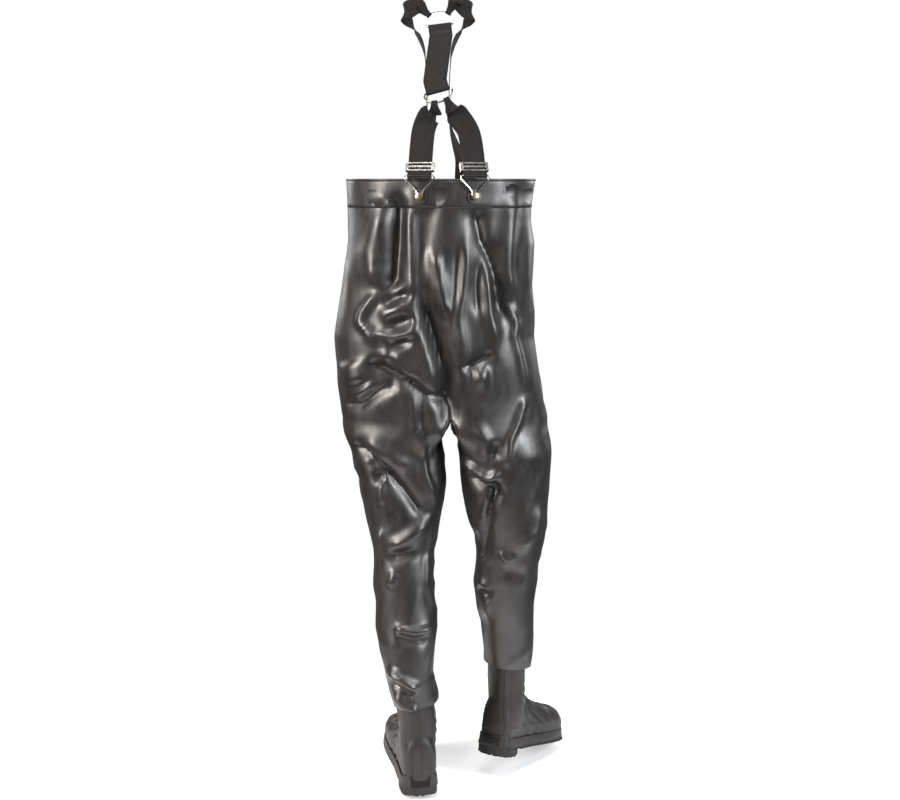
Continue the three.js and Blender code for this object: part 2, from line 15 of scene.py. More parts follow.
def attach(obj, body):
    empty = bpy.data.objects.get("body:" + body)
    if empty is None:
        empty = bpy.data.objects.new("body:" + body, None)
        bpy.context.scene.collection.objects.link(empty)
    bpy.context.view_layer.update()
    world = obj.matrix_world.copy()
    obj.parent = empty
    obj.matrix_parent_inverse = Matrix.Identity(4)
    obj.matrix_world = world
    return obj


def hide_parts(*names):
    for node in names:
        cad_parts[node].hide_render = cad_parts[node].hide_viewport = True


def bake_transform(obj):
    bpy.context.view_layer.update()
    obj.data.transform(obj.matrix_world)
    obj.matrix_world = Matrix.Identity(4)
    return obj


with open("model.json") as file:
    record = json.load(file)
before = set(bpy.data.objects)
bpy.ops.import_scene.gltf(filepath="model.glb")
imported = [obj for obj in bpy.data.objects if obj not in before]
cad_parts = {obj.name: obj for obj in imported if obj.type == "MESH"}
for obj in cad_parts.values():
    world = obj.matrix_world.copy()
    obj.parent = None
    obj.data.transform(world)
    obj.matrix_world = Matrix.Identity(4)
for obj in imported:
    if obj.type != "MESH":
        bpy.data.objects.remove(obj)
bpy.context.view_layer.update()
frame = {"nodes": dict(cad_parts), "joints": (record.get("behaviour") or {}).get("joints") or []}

HANG_Z = 1728.0
HANG_Y = -22.0
ROOM = 0.12  # brightness of the room that the rubber mirrors


def to_row(points):
    """Millimetres above the floor, in the row frame's metres."""
    return (np.asarray(points, float) - (0, HANG_Y, HANG_Z)) / 1000


def ramp(low, high, x):
    """0 below low, 1 above high, smooth in between."""
    t = np.clip((np.asarray(x, float) - low) / (high - low), 0, 1)
    return t * t * (3 - 2 * t)


# ---------------------------------------------------------------- camera
CAMERA_DISTANCE = 3400.0
CAMERA_HEIGHT = 1360.0
CAMERA_X = -26.0
CAMERA_PITCH = 8.0
camera_data = bpy.data.cameras.new("camera")
camera_data.sensor_width = 36
camera_data.lens = 61.8
camera = bpy.data.objects.new("camera", camera_data)
camera.location = to_row([(CAMERA_X, CAMERA_DISTANCE, CAMERA_HEIGHT)])[0]
camera.rotation_euler = (math.radians(90 - CAMERA_PITCH), 0, math.radians(180))
bpy.context.collection.objects.link(camera)
bpy.context.scene.camera = camera


# ---------------------------------------------------------------- materials
def node_material(name):
    material = bpy.data.materials.new(name)
    material.use_nodes = True
    tree = material.node_tree
    return material, tree, tree.nodes["Principled BSDF"]


def texture(tree, kind, scale, detail=4.0, stretch=(1, 1, 1), roughness=0.55):
    """A noise or wave texture on object coordinates, in metres."""
    place = tree.nodes.new("ShaderNodeTexCoord")
    mapping = tree.nodes.new("ShaderNodeMapping")
    mapping.inputs["Scale"].default_value = stretch
    tree.links.new(place.outputs["Object"], mapping.inputs["Vector"])
    made = tree.nodes.new("ShaderNodeTex" + kind)
    made.inputs["Scale"].default_value = scale
    if "Detail" in made.inputs:
        made.inputs["Detail"].default_value = detail
    if "Roughness" in made.inputs:
        made.inputs["Roughness"].default_value = roughness
    tree.links.new(mapping.outputs["Vector"], made.inputs["Vector"])
    return made.outputs["Fac"] if "Fac" in made.outputs else made.outputs[0]


def spread(tree, source, low, high, start=0.3, end=0.7):
    """source between start and end, mapped to low and high."""
    made = tree.nodes.new("ShaderNodeMapRange")
    made.inputs["From Min"].default_value = start
    made.inputs["From Max"].default_value = end
    made.inputs["To Min"].default_value = low
    made.inputs["To Max"].default_value = high
    tree.links.new(source, made.inputs["Value"])
    return made.outputs["Result"]


def mixed_colour(tree, source, one, other):
    made = tree.nodes.new("ShaderNodeMix")
    made.data_type = "RGBA"
    made.inputs["A"].default_value = (*one, 1)
    made.inputs["B"].default_value = (*other, 1)
    tree.links.new(source, made.inputs["Factor"])
    return made.outputs["Result"]


def bump(tree, shader, source, distance, strength=1.0, before=None):
    made = tree.nodes.new("ShaderNodeBump")
    made.inputs["Strength"].default_value = strength
    made.inputs["Distance"].default_value = distance
    tree.links.new(source, made.inputs["Height"])
    if before is not None:
        tree.links.new(before.outputs["Normal"], made.inputs["Normal"])
    tree.links.new(made.outputs["Normal"], shader.inputs["Normal"])
    return made


def rubber(name, dark, light, rough, grain=0.00012, specular=0.5):
    """Coated cloth or moulded rubber: mottled black with a fine grain, and dust that dulls some patches."""
    material, tree, shader = node_material(name)
    patches = texture(tree, "Noise", 9, 5)
    colour = mixed_colour(tree, spread(tree, patches, 0, 1), dark, light)
    tree.links.new(colour, shader.inputs["Base Color"])
    scuffs = texture(tree, "Noise", 55, 6, (1, 1, 0.45))
    tree.links.new(spread(tree, scuffs, rough[0], rough[1], 0.32, 0.7), shader.inputs["Roughness"])
    shader.inputs["Specular IOR Level"].default_value = specular
    waves = bump(tree, shader, texture(tree, "Noise", 30, 4, (1, 1, 0.5)), 0.0011, 0.22)
    bump(tree, shader, texture(tree, "Noise", 1500, 2), grain, 0.5, waves)
    return material


def metal(name, colour, rough):
    material, tree, shader = node_material(name)
    shader.inputs["Metallic"].default_value = 1
    worn = texture(tree, "Noise", 120, 4)
    darker = tuple(0.72 * c for c in colour)
    tree.links.new(mixed_colour(tree, spread(tree, worn, 0, 1), darker, colour), shader.inputs["Base Color"])
    tree.links.new(spread(tree, worn, rough[1], rough[0]), shader.inputs["Roughness"])
    bump(tree, shader, texture(tree, "Noise", 700, 3), 0.0001, 0.3)
    return material


SKIN = rubber("coated_rubber", (0.0085, 0.0078, 0.0072), (0.02, 0.0178, 0.0162), (0.33, 0.5), specular=0.85)
LINING = rubber("coated_lining", (0.03, 0.028, 0.026), (0.05, 0.046, 0.043), (0.7, 0.85))
BOOT = rubber("boot_rubber", (0.0105, 0.0092, 0.0082), (0.021, 0.0185, 0.0165), (0.42, 0.58))
SOLE = rubber("sole_rubber", (0.009, 0.0083, 0.0078), (0.019, 0.0172, 0.016), (0.7, 0.85))
NICKEL = metal("wire_metal", (0.78, 0.75, 0.70), (0.18, 0.34))
BRASS = metal("button_brass", (0.62, 0.48, 0.29), (0.24, 0.42))


def webbing_material():
    """Woven elastic: fine cross ribs with a heavier cord along each edge, driven by the ribbon's own UVs."""
    material, tree, shader = node_material("webbing")
    uv = tree.nodes.new("ShaderNodeTexCoord")
    parts = tree.nodes.new("ShaderNodeSeparateXYZ")
    tree.links.new(uv.outputs["UV"], parts.inputs["Vector"])

    def wave(source, count):
        scaled = tree.nodes.new("ShaderNodeMath")
        scaled.operation = "MULTIPLY"
        scaled.inputs[1].default_value = 2 * math.pi * count
        tree.links.new(source, scaled.inputs[0])
        sine = tree.nodes.new("ShaderNodeMath")
        sine.operation = "SINE"
        tree.links.new(scaled.outputs[0], sine.inputs[0])
        return sine.outputs[0]

    def join(kind, one, other):
        made = tree.nodes.new("ShaderNodeMath")
        made.operation = kind
        tree.links.new(one, made.inputs[0])
        tree.links.new(other, made.inputs[1])
        return made.outputs[0]

    ribs = wave(parts.outputs["Y"], 1)
    cords = wave(parts.outputs["X"], 14)
    weave = join("MULTIPLY", ribs, cords)
    worn = texture(tree, "Noise", 60, 5)
    colour = mixed_colour(tree, spread(tree, weave, 0, 1, -1, 1), (0.004, 0.0035, 0.0032), (0.014, 0.0125, 0.0115))
    tree.links.new(colour, shader.inputs["Base Color"])
    tree.links.new(spread(tree, worn, 0.72, 0.9), shader.inputs["Roughness"])
    shader.inputs["Specular IOR Level"].default_value = 0.25
    shader.inputs["Sheen Weight"].default_value = 0.04
    shader.inputs["Sheen Roughness"].default_value = 0.5
    bump(tree, shader, join("ADD", weave, ribs), 0.00035, 0.7)
    return material


WEBBING = webbing_material()


# ---------------------------------------------------------------- mesh helpers
def make_piece(name, points, faces, material, smooth=True):
    """A mesh object from millimetre points."""
    mesh = bpy.data.meshes.new(name)
    mesh.from_pydata([tuple(p) for p in to_row(points)], [], [tuple(f) for f in faces])
    mesh.materials.append(material)
    mesh.update()
    mesh.shade_smooth() if smooth else None
    made = bpy.data.objects.new(name, mesh)
    bpy.context.collection.objects.link(made)
    return made


def apply_modifiers(piece):
    """Leaves the evaluated mesh in place of the modifiers."""
    evaluated = piece.evaluated_get(bpy.context.evaluated_depsgraph_get())
    mesh = bpy.data.meshes.new_from_object(evaluated)
    piece.modifiers.clear()
    old = piece.data
    piece.data = mesh
    bpy.data.meshes.remove(old)
    return piece


def table(rows):
    """Columns of a table of sections, with rising heights for interpolation."""
    columns = np.array(sorted(rows), float).T
    return lambda z: [np.interp(z, columns[0], c) for c in columns[1:]]


# ---------------------------------------------------------------- garment: sections
RIM = 1366.0
RIM_DROP = 56.0
FORK_Z = 846.0
FORK_X = -27.0
ROW = 6.5
OUT = 80  # steps round the outside of each leg
IN = 26  # steps across the crotch
THIGH_SPLIT = 650.0  # height where the thigh pieces meet the lower-leg pieces
SKIN_THICK = 1.8
LEFT_HEM_TILT = -0.12
RIGHT_HEM_TILT = 0.14

# height, left edge, right edge, centre y, half depth
TORSO = table(
    [
        (1380, 197, -211, 0, 165),
        (1361, 197, -210, 0, 165),
        (1334, 196, -204, 0, 164),
        (1280, 195, -203, 0, 162),
        (1233, 195, -212, 0, 160),
        (1190, 201, -211, 0, 158),
        (1136, 210, -208, 0, 156),
        (1081, 218, -212, 0, 153),
        (1026, 228, -211, 0, 150),
        (985, 227, -217, 0, 146),
        (915, 222, -228, 0, 138),
        (860, 216, -238, 0, 129),
        (800, 206, -247, 0, 124),
    ]
)
# height, outer edge, inner edge, centre y, half depth
LEFT_LEG = table(
    [
        (860, 216, -22, 0, 126),
        (819, 209, -6, 0, 121),
        (775, 198, -12, 0, 112),
        (712, 181, -18, 1, 106),
        (658, 168, -13, 2, 102),
        (601, 156, -2, 5, 96),
        (551, 148, 9, 8, 91),
        (483, 146, 10, 14, 87),
        (433, 141, 6, 21, 84),
        (377, 140, 0, 30, 80),
        (322, 129, 7, 38, 77),
        (273, 118, 13, 44, 73),
        (243, 110, 8, 48, 68),
        (215, 102, 1, 50, 62),
        (180, 93, 0, 52, 56),
    ]
)
RIGHT_LEG = table(
    [
        (860, -238, -30, 0, 126),
        (812, -251, -42, 0, 121),
        (745, -252, -46, -3, 110),
        (678, -250, -54, -8, 104),
        (600, -243, -70, -16, 96),
        (553, -235, -86, -24, 91),
        (509, -228, -85, -32, 88),
        (457, -224, -82, -41, 85),
        (406, -219, -89, -49, 82),
        (371, -219, -98, -56, 80),
        (327, -220, -101, -64, 78),
        (280, -216, -104, -72, 76),
        (261, -213, -104, -75, 74),
    ]
)
LEFT_END = 206.0
RIGHT_END = 262.0


def ring(section, angles, z):
    """Points on a section at angles, a little squarer than an ellipse."""
    outer, inner, y, depth = section
    cx, a = (outer + inner) / 2, abs(outer - inner) / 2
    c, s = np.cos(angles), np.sin(angles)
    square = (np.abs(c) ** 2.3 + np.abs(s) ** 2.3) ** (-1 / 2.3)
    return np.stack([cx + a * c * square, y + depth * s * square, np.full(len(angles), z)], 1)


def torso_angles(section):
    """Angles round the torso from the middle of the back, by the left side, to the front, and back by the right."""
    left, right, _, _ = section
    back = math.acos(np.clip((FORK_X - (left + right) / 2) / ((left - right) / 2), -1, 1))
    first = np.linspace(back, -back, OUT + 1)[:-1]
    second = np.linspace(-back, back - 2 * math.pi, OUT + 1)[:-1]
    return np.concatenate([first, second])


def build_garment():
    """Points, faces and a name of the piece for each face: the halves of the bib with the thighs, and the two shins."""
    points, faces, piece = [], [], []
    around = 2 * OUT
    levels = np.linspace(RIM, FORK_Z, int((RIM - FORK_Z) / ROW) + 1)
    for z in levels:
        section = TORSO(z)
        angles = torso_angles(section)
        loop = ring(section, angles, z)
        front = np.maximum(0, -np.sin(angles)) ** 1.5
        loop[:, 2] -= RIM_DROP * front * ramp(1130, RIM, z)
        points.append(loop)
    for row in range(len(levels) - 1):
        for i in range(around):
            j = (i + 1) % around
            above, below = row * around, (row + 1) * around
            faces.append((above + i, above + j, below + j, below + i))
            piece.append("left_trouser" if i < OUT else "right_trouser")
    last = (len(levels) - 1) * around
    count = last + around
    back, front = points[-1][0], points[-1][OUT]
    share = np.arange(1, IN)[:, None] / IN
    crotch = front * (1 - share) + back * share
    crotch[:, 2] -= 5 * np.sin(math.pi * share[:, 0])
    points.append(crotch)
    inner = list(range(count, count + IN - 1))
    count += IN - 1
    outside = [last + i for i in range(OUT + 1)]
    other = [last + (OUT + i) % around for i in range(OUT + 1)]
    sides = (
        ("left", outside + inner, LEFT_LEG, LEFT_END, 135.0, LEFT_HEM_TILT),
        ("right", other + inner[::-1], RIGHT_LEG, RIGHT_END, -45.0, RIGHT_HEM_TILT),
    )
    flat = np.concatenate(points)
    for name, start, legs, end, first_angle, tilt in sides:
        size = len(start)
        angles = np.radians(first_angle - np.arange(size) * 360.0 / size)
        top = flat[start]
        previous = start
        inside = np.arange(size) > OUT
        for z in np.linspace(FORK_Z, end, int((FORK_Z - end) / ROW) + 1)[1:]:
            section = legs(z)
            loop = ring(section, angles, z)
            loop[:, 2] += tilt * (loop[:, 0] - (section[0] + section[1]) / 2) * ramp(end + 90, end, z)
            fade = np.where(inside, ramp(0, 45, FORK_Z - z), ramp(0, 85, FORK_Z - z))[:, None]
            held = top.copy()
            held[:, 2] = z
            points.append(held * (1 - fade) + loop * fade)
            current = list(range(count, count + size))
            count += size
            for i in range(size):
                j = (i + 1) % size
                faces.append((previous[i], previous[j], current[j], current[i]))
                piece.append(f"{name}_trouser" if z > THIGH_SPLIT else f"{name}_lower_leg")
            previous = current
    return np.concatenate(points), np.array(faces), np.array(piece)


def vertex_normals(points, faces):
    quads = np.array(faces)
    normal = np.cross(points[quads[:, 2]] - points[quads[:, 0]], points[quads[:, 3]] - points[quads[:, 1]])
    total = np.zeros_like(points)
    for k in range(4):
        np.add.at(total, quads[:, k], normal)
    return total / np.maximum(np.linalg.norm(total, axis=1), 1e-9)[:, None]


# ---------------------------------------------------------------- garment: folds
def distance_to(line, x, z):
    """Distance, signed side (+ left of the line's direction as drawn) and share along the line."""
    best = np.full(len(x), 1e9)
    side = np.zeros(len(x))
    along = np.zeros(len(x))
    lengths = [math.dist(a, b) for a, b in zip(line, line[1:])]
    total, passed = sum(lengths), 0.0
    for (ax, az), (bx, bz), length in zip(line, line[1:], lengths):
        dx, dz = bx - ax, bz - az
        t = np.clip(((x - ax) * dx + (z - az) * dz) / (length * length), 0, 1)
        gx, gz = x - ax - t * dx, z - az - t * dz
        d = np.hypot(gx, gz)
        cross = dx * gz - dz * gx
        closer = d < best
        best = np.where(closer, d, best)
        side = np.where(closer, np.sign(cross), side)
        along = np.where(closer, (passed + t * length) / total, along)
        passed += length
    return best, side, along


def fold(line, height, width, x, z, kind="ridge", ends=0.18):
    """Height of one fold over (x, z). A ridge is round, a crease is sharp, and a step is high on one side."""
    d, side, along = distance_to(line, x, z)
    fade = ramp(0, ends, along) * ramp(0, ends, 1 - along) if ends > 0 else 1.0
    if kind == "ridge":
        shape = np.exp(-((d / width) ** 2))
    elif kind == "crease":
        shape = np.exp(-d / width)
    else:
        signed = d * side
        shape = 0.5 * (1 + np.tanh(signed / (0.18 * width))) * np.exp(-np.maximum(signed, 0) / width)
    return height * fade * shape


# Folds on the back: (kind, height, width, end fade, line of (x, z)).
BACK_FOLDS = [
    ("step", -9, 60, 0.12, [(-17, 1364), (3, 1304), (17, 1243), (33, 1180), (45, 1145), (49, 1105)]),
    ("ridge", -34, 20, 0.25, [(42, 1165), (30, 1105), (8, 1040), (-14, 960), (-24, 880), (-27, 800)]),
    ("ridge", 9, 13, 0.25, [(56, 1180), (48, 1110), (30, 1045), (8, 975), (0, 915)]),
    ("ridge", 12, 10, 0.2, [(10, 1230), (0, 1180), (-12, 1117), (-24, 1070)]),
    ("ridge", 9, 10, 0.25, [(-59, 1270), (-56, 1180), (-44, 1075), (-54, 1004), (-66, 972)]),
    ("ridge", -9, 9, 0.3, [(-46, 1235), (-38, 1095)]),
    ("crease", -22, 13, 0.15, [(-78, 1320), (-94, 1239), (-122, 1180), (-139, 1093), (-163, 1066)]),
    ("ridge", -10, 9, 0.3, [(-89, 1220), (-85, 1145), (-92, 1066)]),
    ("ridge", 12, 12, 0.3, [(-102, 1190), (-110, 1093), (-128, 1000)]),
    ("ridge", 13, 20, 0.2, [(-158, 1364), (-154, 1283), (-146, 1179), (-156, 1100)]),
    ("ridge", 9, 7, 0.2, [(-140, 1118), (-168, 1062), (-162, 1037), (-184, 948), (-193, 905)]),
    ("crease", -16, 9, 0.2, [(-50, 966), (-88, 981), (-122, 1003)]),
    ("ridge", 14, 24, 0.3, [(-75, 948), (-112, 950)]),
    ("ridge", 15, 25, 0.25, [(104, 1325), (140, 1214), (128, 1125)]),
    ("ridge", -5, 6, 0.3, [(118, 1205), (122, 1150)]),
    ("ridge", -24, 15, 0.2, [(84, 1350), (88, 1232), (95, 1162), (114, 1120)]),
    ("ridge", 10, 12, 0.2, [(60, 1320), (53, 1180), (54, 1115)]),
    ("ridge", 12, 9, 0.2, [(126, 1135), (160, 1087), (165, 1066), (146, 1046), (133, 1012)]),
    ("ridge", -13, 10, 0.25, [(118, 1108), (55, 1130)]),
    ("ridge", 10, 16, 0.3, [(128, 1075), (86, 1096), (60, 1104)]),
    ("ridge", -13, 13, 0.25, [(112, 1058), (75, 1068), (52, 1082)]),
    ("ridge", 10, 7, 0.2, [(141, 1046), (92, 1038), (56, 1046), (43, 1078)]),
    ("ridge", -12, 8, 0.3, [(104, 1014), (70, 1024), (56, 1034)]),
    ("crease", -26, 12, 0.15, [(158, 984), (114, 965), (72, 948), (33, 915), (-12, 894), (-30, 888)]),
    ("ridge", 12, 9, 0.3, [(92, 1016), (76, 971), (52, 938)]),
    ("ridge", 8, 7, 0.3, [(118, 1010), (104, 982)]),
    ("ridge", -10, 8, 0.3, [(106, 948), (96, 926), (100, 914)]),
    ("crease", -16, 11, 0.2, [(214, 884), (169, 884), (122, 922), (92, 918)]),
    ("ridge", 9, 8, 0.3, [(186, 898), (130, 938)]),
    ("ridge", 13, 30, 0.3, [(196, 985), (176, 925)]),
    ("ridge", 9, 6, 0.15, [(56, 930), (49, 874), (49, 847), (31, 799), (26, 735), (3, 652)]),
    ("crease", -7, 8, 0.15, [(44, 930), (38, 874), (38, 847), (20, 799), (15, 735), (-4, 690)]),
    ("ridge", 9, 6, 0.15, [(-192, 905), (-167, 834), (-156, 812), (-147, 745)]),
    ("ridge", 9, 12, 0.3, [(-80, 852), (-103, 808), (-100, 762)]),
    ("ridge", -12, 12, 0.3, [(-122, 812), (-120, 762)]),
    ("ridge", 15, 8, 0.2, [(-46, 770), (-86, 736), (-112, 722), (-140, 744)]),
    ("crease", -20, 12, 0.25, [(-60, 735), (-92, 710), (-118, 702), (-140, 716)]),
    ("crease", -22, 11, 0.15, [(-134, 716), (-112, 665), (-100, 583), (-94, 510)]),
    ("ridge", 8, 5, 0.25, [(-112, 690), (-92, 620)]),
    ("ridge", 12, 14, 0.3, [(-234, 672), (-214, 606), (-188, 572), (-180, 540)]),
    ("ridge", 8, 7, 0.3, [(-131, 555), (-152, 530), (-174, 545)]),
    ("ridge", -5, 16, 0.3, [(-140, 505), (-200, 492)]),
    ("ridge", 9, 8, 0.3, [(-82, 490), (-114, 448)]),
    ("crease", -15, 9, 0.3, [(-90, 462), (-116, 436)]),
    ("ridge", 7, 6, 0.3, [(-108, 432), (-112, 385)]),
    ("crease", -26, 15, 0.15, [(200, 800), (155, 776), (116, 740), (75, 701), (36, 652), (10, 640)]),
    ("ridge", 12, 22, 0.25, [(170, 815), (110, 775), (60, 740)]),
    ("ridge", 8, 6, 0.25, [(171, 756), (142, 768), (120, 738), (94, 700)]),
    ("ridge", -10, 9, 0.3, [(134, 738), (126, 712)]),
    ("ridge", 8, 7, 0.3, [(122, 722), (124, 662)]),
    ("ridge", 14, 16, 0.3, [(14, 634), (69, 590), (112, 560)]),
    ("ridge", -12, 12, 0.3, [(120, 546), (76, 553), (36, 563)]),
    ("ridge", 8, 5, 0.15, [(7, 620), (24, 537), (27, 488), (4, 405)]),
    ("ridge", 7, 7, 0.3, [(128, 615), (127, 530)]),
    ("ridge", 8, 11, 0.3, [(92, 520), (108, 478)]),
    ("ridge", 12, 7, 0.2, [(100, 392), (52, 382), (10, 388)]),
    ("crease", -12, 9, 0.25, [(96, 372), (52, 362), (20, 366)]),
    ("ridge", 15, 11, 0.2, [(116, 292), (81, 277), (42, 248)]),
    ("ridge", -15, 8, 0.25, [(110, 268), (80, 252), (50, 236)]),
    ("ridge", 12, 9, 0.2, [(96, 242), (76, 214), (40, 204)]),
]


def value_noise(points, scale, seed):
    """Smooth noise from -1 to 1 out of a few sine waves, the same every time."""
    rng = np.random.default_rng(seed)
    total = np.zeros(len(points))
    for _ in range(7):
        direction = rng.normal(size=3)
        direction /= np.linalg.norm(direction)
        phase = rng.uniform(0, 2 * math.pi)
        total += np.sin(points @ (direction * 2 * math.pi / scale) + phase)
    return total / 7 * 1.9


def crumple(points):
    """Folds that run down the bib and across the legs, for the sides and front."""
    z = points[:, 2]
    warp = np.stack([value_noise(points, 260, s) for s in (1, 2, 3)], 1) * 42
    tall = (points + warp) * (1, 1, 0.28)
    down = 1 - 2 * np.abs(value_noise(tall, 120, 11))
    slant = points + warp
    slant = np.stack([slant[:, 0], slant[:, 1], slant[:, 2] + 0.7 * slant[:, 0]], 1) * (0.45, 0.6, 1)
    across = 1 - 2 * np.abs(value_noise(slant, 115, 23))
    legs = ramp(1000, 880, z)
    return (down * (1 - legs) + across * legs) * 8.5


# Beside each button the skin stays where the patch lies on it.
FLAT_SPOTS = ((36, 161, 1332), (-76, 155, 1332), (46, -160, 1276), (-62, -160, 1276))


def folded(points, normals):
    x, z = points[:, 0], points[:, 2]
    behind = ramp(-0.05, 0.45, normals[:, 1])
    height = np.zeros(len(points))
    for kind, size, width, ends, line in BACK_FOLDS:
        height += fold(line, size, width, x, z, kind, ends)
    rim = ramp(RIM, RIM - 90, z) * 0.4 + 0.6
    for bx, by, bz in FLAT_SPOTS:
        away = np.linalg.norm(points - (bx, by, bz), axis=1)
        rim = rim * (1 - np.exp(-((away / 30) ** 4)))
    loose = crumple(points) * (1 - 0.8 * behind) + value_noise(points, 150, 5) * 3
    push = (height * behind * rim + loose * rim)[:, None] * normals
    side_keep = 1 - 0.75 * np.abs(normals[:, 0]) ** 3
    push[:, 0] *= side_keep
    return points + push


points, faces, piece_of_face = build_garment()
points = folded(points, vertex_normals(points, faces))
normals = vertex_normals(points, faces)
inner_points = points - SKIN_THICK * normals


def shell_piece(name):
    """One piece of the garment as a closed skin: outside, lining, and the strips that join them at its edges."""
    chosen = faces[piece_of_face == name]
    used = np.unique(chosen)
    index = np.full(len(points), -1)
    index[used] = np.arange(len(used))
    outer = index[chosen]
    shift = len(used)
    lining = outer[:, ::-1] + shift
    edges = np.stack([outer, np.roll(outer, -1, axis=1)], 2).reshape(-1, 2)
    known = {tuple(e) for e in edges}
    rims = [(j, i, i + shift, j + shift) for i, j in edges if (j, i) not in known]
    made = make_piece(name, np.concatenate([points[used], inner_points[used]]), [*outer, *lining, *rims], SKIN)
    made.data.materials.append(LINING)
    slots = np.zeros(len(made.data.polygons), np.int32)
    slots[len(outer) : 2 * len(outer)] = 1
    made.data.polygons.foreach_set("material_index", slots)
    directions = np.concatenate([normals[used], -normals[used]])
    made.data.normals_split_custom_set_from_vertices([tuple(n) for n in directions])
    return made


def hinge(name):
    """A joint's place and the two bodies it joins."""
    return next(j for j in frame["joints"] if j["name"] == name)


BIB_NODES = [n for n in frame["nodes"] if n.startswith("bib_")]
for side, sign in (("left", 1), ("right", -1)):
    for name, length, swapped in (
        (f"{side}_trouser", 0.74, [f"{side}_hip_gusset", f"{side}_thigh"] + [n for n in BIB_NODES if side in n]),
        (f"{side}_lower_leg", 0.45, [f"{side}_knee", f"{side}_shin"]),
    ):
        made = shell_piece(name)
        if name.endswith("trouser"):
            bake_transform(made)
            swapped += ["bib_seat", "bib_shell"] if side == "left" else []
        else:
            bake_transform(made)
        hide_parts(*[n for n in swapped if n in frame["nodes"]])


# ---------------------------------------------------------------- rim: band and rolled edge
AROUND = 2 * OUT
BAND_ROWS = 10
grid = points[: BAND_ROWS * AROUND].reshape(BAND_ROWS, AROUND, 3)
out = normals[: BAND_ROWS * AROUND].reshape(BAND_ROWS, AROUND, 3)


def around_strip(name, rows, material):
    """A closed band through rows of rings, the last joined to the first."""
    count, size = len(rows), len(rows[0])
    quads = []
    for r in range(count):
        for i in range(size):
            j, n = (i + 1) % size, (r + 1) % count
            quads.append((r * size + i, r * size + j, n * size + j, n * size + i))
    return make_piece(name, np.concatenate(rows), quads, material)


outer_rows = [grid[r] + out[r] * (1.0 if r < BAND_ROWS - 1 else 0.3) for r in range(BAND_ROWS)]
inner_rows = [grid[r] + out[r] * 0.1 for r in (BAND_ROWS - 1, 0)]
band = around_strip("rim_band", outer_rows + inner_rows, SKIN)
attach(band, "bib")
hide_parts("top_band")

BEAD = 2.2
rolls = []
for k in range(8):
    t = -2 * math.pi * k / 8
    rolls.append(grid[0] + out[0] * (BEAD * math.cos(t)) + np.array([0, 0, 0.4 + BEAD * math.sin(t)]))
bead = around_strip("rim_bead", rolls, SKIN)
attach(bead, "bib")


# ---------------------------------------------------------------- boots
ANKLE_HEIGHT = 100.0
SOLE_TOP = -76.4
UPPER_LOW = -76.0
SOLE_THICK = 8.0
HEEL_THICK = 15.0
HEEL_FRONT = 2.0
# distance forwards of the ankle, half width, height of the top
FOOT = [
    (58, 25, 22),
    (52, 34, 36),
    (30, 39, 46),
    (-20, 41, 48),
    (-60, 43, 30),
    (-100, 48, 14),
    (-140, 52, 5),
    (-180, 52, -2),
    (-210, 45, -14),
    (-228, 33, -32),
    (-236, 16, -54),
]
BOOTS = {
    "left": dict(at=(48, 55, 104), turn=9, lift=5, top=(66, 45, 50, 68), collar=310),
    "right": dict(at=(-158, -85, 136), turn=-31, lift=-11, top=(-159, -66, 52, 70), collar=357),
}


def foot_frame(boot):
    """Turns foot coordinates into garment coordinates."""
    turn = Matrix.Rotation(math.radians(boot["turn"]), 4, "Z") @ Matrix.Rotation(math.radians(-boot["lift"]), 4, "X")
    return np.array(Matrix.Translation(boot["at"]) @ turn)


def placed(boot, local):
    matrix = foot_frame(boot)
    return np.asarray(local, float) @ matrix[:3, :3].T + matrix[:3, 3]


def smooth_curve(values, count):
    """A Catmull-Rom curve through rows of values."""
    v = np.asarray(values, float)
    v = np.concatenate([[2 * v[0] - v[1]], v, [2 * v[-1] - v[-2]]])
    made = []
    for u in np.linspace(0, len(v) - 3 - 1e-9, count):
        i, t = int(u), u - int(u)
        p0, p1, p2, p3 = v[i], v[i + 1], v[i + 2], v[i + 3]
        made.append(
            0.5 * (2 * p1 + (p2 - p0) * t + (2 * p0 - 5 * p1 + 4 * p2 - p3) * t * t + (3 * p1 - p0 - 3 * p2 + p3) * t**3)
        )
    return np.array(made)


def capped_loft(rings):
    """Points and faces of a closed solid through rings."""
    size = len(rings[0])
    flat = np.concatenate([*rings, rings[0].mean(0)[None], rings[-1].mean(0)[None]])
    first, last = len(flat) - 2, len(flat) - 1
    end = (len(rings) - 1) * size
    quads = []
    for r in range(len(rings) - 1):
        for i in range(size):
            j = (i + 1) % size
            quads.append((r * size + i, (r + 1) * size + i, (r + 1) * size + j, r * size + j))
    for i in range(size):
        j = (i + 1) % size
        quads.append((first, i, j))
        quads.append((last, end + j, end + i))
    return flat, quads


def foot_rings(grow=0.0, sides=48, count=60):
    t = 2 * math.pi * (np.arange(sides) + 0.5) / sides
    c, s = np.cos(t), np.sin(t)
    wide = np.sign(c) * np.abs(c) ** 0.75
    high = np.where(s < 0, -np.minimum(1, 1.35 * np.abs(s) ** 0.8), np.abs(s) ** 0.95)
    rings = []
    for y, a, top in smooth_curve(FOOT, count):
        low = UPPER_LOW
        middle, tall = (top + low) / 2, (top - low) / 2
        rings.append(np.stack([(a + grow) * wide, np.full(sides, y), middle + tall * high], 1))
    return rings


def sole_outline(grow, y_from, y_to, count=150, teeth=0.0):
    """Half outlines joined into a loop, seen from above, with small tread teeth."""
    curve = smooth_curve([(y, a) for y, a, _ in FOOT], count)
    keep = curve[(curve[:, 0] <= y_from) & (curve[:, 0] >= y_to)]
    steps = np.arange(len(keep))
    a = keep[:, 1] + grow + teeth * (np.sin(steps * math.pi / 1.5) > 0)
    right = np.stack([a, keep[:, 0]], 1)
    left = np.stack([-a[::-1], keep[::-1, 0]], 1)
    return np.concatenate([right, left])


